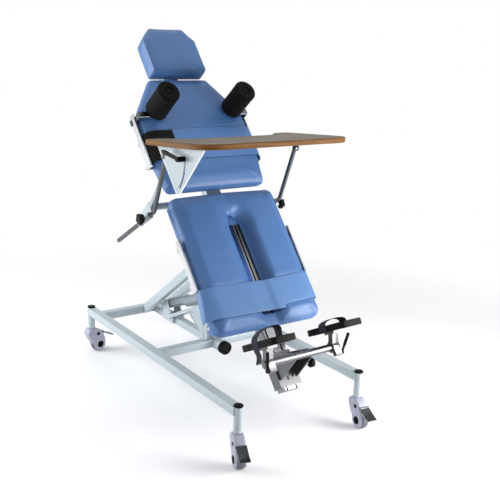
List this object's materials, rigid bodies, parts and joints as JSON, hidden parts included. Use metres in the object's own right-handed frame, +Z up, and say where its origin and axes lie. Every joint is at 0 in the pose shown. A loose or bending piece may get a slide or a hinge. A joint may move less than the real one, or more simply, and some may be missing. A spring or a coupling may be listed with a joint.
{
  "type": "electric tilt table",
  "caption": "Castered tilt table with a padded split bed, head pad, straps, trunk rollers, slotted tray on arms, foot plates and a lifting drive.",
  "frame": {"origin": "centre of the bounding box's footprint, on the floor under the casters", "axes": "+Z up, +Y from the foot end to the head end along the longest side of the base, +X to the user's left as they lie on the bed"},
  "size_m": [0.8332, 1.5252, 1.6672],
  "materials": {
    "frame_paint": "satin light blue-grey powder coat",
    "caster_hood": "moulded lavender-grey housing",
    "caster_tyre": "dark grey tread",
    "bare_steel": "brushed, zinc plated",
    "chrome": "polished plating",
    "anodised_aluminium": "anodised extrusion",
    "black_plastic": "black moulding",
    "black_foam": "closed-cell foam, matt",
    "blue_vinyl": "blue coated upholstery, soft sheen",
    "grey_webbing": "violet-grey webbing",
    "black_elastic": "black ribbed elastic",
    "tray_laminate": "grey-beige laminate with an orange-brown wooden edge",
    "actuator_grey": "grey housing"
  },
  "bodies": {
    "base": {"side_rail_left": "frame_paint", "side_rail_right": "frame_paint", "front_cross_member": "frame_paint", "rear_cross_member": "frame_paint", "centre_beam": "frame_paint", "pivot_frame_left": "frame_paint", "pivot_frame_right": "frame_paint"},
    "caster_front_left": {"caster_housing_front_left": "caster_hood"},
    "wheel_front_left": {"caster_wheel_front_left": "caster_tyre"},
    "pedal_front_left": {"brake_pedal_front_left": "bare_steel"},
    "caster_front_right": {"caster_housing_front_right": "caster_hood"},
    "wheel_front_right": {"caster_wheel_front_right": "caster_tyre"},
    "pedal_front_right": {"brake_pedal_front_right": "bare_steel"},
    "caster_rear_left": {"caster_housing_rear_left": "caster_hood"},
    "wheel_rear_left": {"caster_wheel_rear_left": "caster_tyre"},
    "pedal_rear_left": {"brake_pedal_rear_left": "bare_steel"},
    "caster_rear_right": {"caster_housing_rear_right": "caster_hood"},
    "wheel_rear_right": {"caster_wheel_rear_right": "caster_tyre"},
    "pedal_rear_right": {"brake_pedal_rear_right": "bare_steel"},
    "actuator": {"actuator_body": "actuator_grey"},
    "rod": {"actuator_rod": "chrome"},
    "table": {"foot_column": "anodised_aluminium", "back_spine": "frame_paint", "leg_board": "blue_vinyl", "back_board": "blue_vinyl", "tilt_channel": "frame_paint", "tray_carrier": "frame_paint", "leg_cushion": "blue_vinyl", "back_cushion": "blue_vinyl", "head_cushion": "blue_vinyl", "chest_strap_elastic": "black_elastic", "chest_strap": "blue_vinyl", "leg_strap": "blue_vinyl", "leg_rail_left": "bare_steel", "leg_rail_right": "bare_steel", "back_rail_left": "bare_steel", "back_rail_right": "bare_steel"},
    "roller_slider_left": {"roller_bracket_left": "bare_steel"},
    "roller_left": {"foam_roller_left": "black_foam"},
    "roller_slider_right": {"roller_bracket_right": "bare_steel"},
    "roller_right": {"foam_roller_right": "black_foam"},
    "tray_arms": {"tray_arm_left": "chrome", "tray_arm_right": "chrome"},
    "tray": {"tray_top": "tray_laminate", "tray_side_plate": "frame_paint", "tray_hinge_right": "frame_paint"},
    "tray_lever": {"tray_lever": "black_plastic"},
    "arm_knob_left": {"arm_knob_left": "black_plastic"},
    "arm_knob_right": {"arm_knob_right": "black_plastic"},
    "foot_slide": {"foot_carriage": "bare_steel"},
    "carriage_knob": {"carriage_knob": "black_plastic"},
    "foot_left": {"foot_clamp_left": "anodised_aluminium", "foot_plate_left": "black_plastic", "foot_strap_left": "grey_webbing"},
    "foot_lever_left": {"foot_lever_left": "black_plastic"},
    "foot_right": {"foot_clamp_right": "anodised_aluminium", "foot_plate_right": "black_plastic", "foot_strap_right": "grey_webbing"},
    "foot_lever_right": {"foot_lever_right": "black_plastic"}
  },
  "joints": [
    {"name": "caster_front_left_swivel", "type": "hinge", "parent": "base", "child": "caster_front_left", "pos_m": [-0.3401, -0.63265, 0.136], "axis": [0, 0, 1], "continuous": true},
    {"name": "wheel_front_left_roll", "type": "hinge", "parent": "caster_front_left", "child": "wheel_front_left", "pos_m": [-0.35378, -0.67024, 0.04], "axis": [0.9397, -0.342, 0], "continuous": true},
    {"name": "pedal_front_left_press", "type": "hinge", "parent": "caster_front_left", "child": "pedal_front_left", "pos_m": [-0.36062, -0.68903, 0.1035], "axis": [0.9397, -0.342, 0], "range_deg": [0, 18]},
    {"name": "caster_front_right_swivel", "type": "hinge", "parent": "base", "child": "caster_front_right", "pos_m": [0.3099, -0.63265, 0.136], "axis": [0, 0, 1], "continuous": true},
    {"name": "wheel_front_right_roll", "type": "hinge", "parent": "caster_front_right", "child": "wheel_front_right", "pos_m": [0.30433, -0.67226, 0.04], "axis": [0.9903, -0.1392, 0], "continuous": true},
    {"name": "pedal_front_right_press", "type": "hinge", "parent": "caster_front_right", "child": "pedal_front_right", "pos_m": [0.30155, -0.69207, 0.1035], "axis": [0.9903, -0.1392, 0], "range_deg": [0, 18]},
    {"name": "caster_rear_left_swivel", "type": "hinge", "parent": "base", "child": "caster_rear_left", "pos_m": [-0.3401, 0.71735, 0.136], "axis": [0, 0, 1], "continuous": true},
    {"name": "wheel_rear_left_roll", "type": "hinge", "parent": "caster_rear_left", "child": "wheel_rear_left", "pos_m": [-0.30071, 0.7243, 0.04], "axis": [-0.1736, 0.9848, 0], "continuous": true},
    {"name": "pedal_rear_left_press", "type": "hinge", "parent": "caster_rear_left", "child": "pedal_rear_left", "pos_m": [-0.28101, 0.72777, 0.1035], "axis": [-0.1736, 0.9848, 0], "range_deg": [0, 18]},
    {"name": "caster_rear_right_swivel", "type": "hinge", "parent": "base", "child": "caster_rear_right", "pos_m": [0.3099, 0.71735, 0.136], "axis": [0, 0, 1], "continuous": true},
    {"name": "wheel_rear_right_roll", "type": "hinge", "parent": "caster_rear_right", "child": "wheel_rear_right", "pos_m": [0.33818, 0.68907, 0.04], "axis": [0.7071, 0.7071, 0], "continuous": true},
    {"name": "pedal_rear_right_press", "type": "hinge", "parent": "caster_rear_right", "child": "pedal_rear_right", "pos_m": [0.35233, 0.67492, 0.1035], "axis": [0.7071, 0.7071, 0], "range_deg": [0, 18]},
    {"name": "table_tilt", "type": "hinge", "parent": "base", "child": "table", "pos_m": [-0.0151, -0.05171, 0.72199], "axis": [1, 0, 0], "range_deg": [-50, 30]},
    {"name": "actuator_swing", "type": "hinge", "parent": "base", "child": "actuator", "pos_m": [-0.0151, 0.44235, 0.303], "axis": [1, 0, 0], "range_deg": [-5, 3]},
    {"name": "rod_extend", "type": "slide", "parent": "actuator", "child": "rod", "axis": [0, -0.9231, 0.3845], "range_m": [-0.0945, 0.1575]},
    {"name": "roller_left_slide", "type": "slide", "parent": "table", "child": "roller_slider_left", "axis": [0, 0.6428, 0.766], "range_m": [-0.04, 0]},
    {"name": "roller_left_spin", "type": "hinge", "parent": "roller_slider_left", "child": "roller_left", "pos_m": [-0.2221, 0.20667, 1.36284], "axis": [0, -0.766, 0.6428], "continuous": true},
    {"name": "roller_right_slide", "type": "slide", "parent": "table", "child": "roller_slider_right", "axis": [0, 0.6428, 0.766], "range_m": [-0.04, 0]},
    {"name": "roller_right_spin", "type": "hinge", "parent": "roller_slider_right", "child": "roller_right", "pos_m": [0.1919, 0.20667, 1.36284], "axis": [0, -0.766, 0.6428], "continuous": true},
    {"name": "tray_height", "type": "slide", "parent": "table", "child": "tray_arms", "axis": [0, -0.8512, 0.5249], "range_m": [-0.03, 0.18]},
    {"name": "tray_tip", "type": "hinge", "parent": "tray_arms", "child": "tray", "pos_m": [-0.0151, -0.07568, 1.16636], "axis": [-1, 0, 0], "range_deg": [0, 42]},
    {"name": "tray_lever_turn", "type": "hinge", "parent": "tray_arms", "child": "tray_lever", "pos_m": [-0.0151, -0.24862, 1.18028], "axis": [-1, 0, 0], "range_deg": [0, 70]},
    {"name": "arm_knob_left_turn", "type": "hinge", "parent": "table", "child": "arm_knob_left", "pos_m": [-0.4001, 0.06549, 0.86961], "axis": [1, 0, 0], "continuous": true},
    {"name": "arm_knob_right_turn", "type": "hinge", "parent": "table", "child": "arm_knob_right", "pos_m": [0.3699, 0.06549, 0.86961], "axis": [1, 0, 0], "continuous": true},
    {"name": "foot_height", "type": "slide", "parent": "table", "child": "foot_slide", "axis": [0, 0.6428, 0.766], "range_m": [-0.01, 0.095]},
    {"name": "carriage_knob_turn", "type": "hinge", "parent": "foot_slide", "child": "carriage_knob", "pos_m": [0.0599, -0.59129, 0.33407], "axis": [1, 0, 0], "continuous": true},
    {"name": "foot_left_pitch", "type": "hinge", "parent": "foot_slide", "child": "foot_left", "pos_m": [-0.1901, -0.61797, 0.39562], "axis": [1, 0, 0], "range_deg": [-20, 20]},
    {"name": "foot_lever_left_turn", "type": "hinge", "parent": "foot_left", "child": "foot_lever_left", "pos_m": [-0.2141, -0.64761, 0.37741], "axis": [1, 0, 0], "range_deg": [-15, 40]},
    {"name": "foot_right_pitch", "type": "hinge", "parent": "foot_slide", "child": "foot_right", "pos_m": [0.1599, -0.61797, 0.39562], "axis": [1, 0, 0], "range_deg": [-20, 20]},
    {"name": "foot_lever_right_turn", "type": "hinge", "parent": "foot_right", "child": "foot_lever_right", "pos_m": [0.1839, -0.64761, 0.37741], "axis": [1, 0, 0], "range_deg": [-15, 40]}
  ],
  "couplings": [
    {"joint": "actuator_swing", "follows": "table_tilt", "ratio": 0.0984},
    {"joint": "rod_extend", "follows": "table_tilt", "m_per_rad": -0.1798}
  ]
}
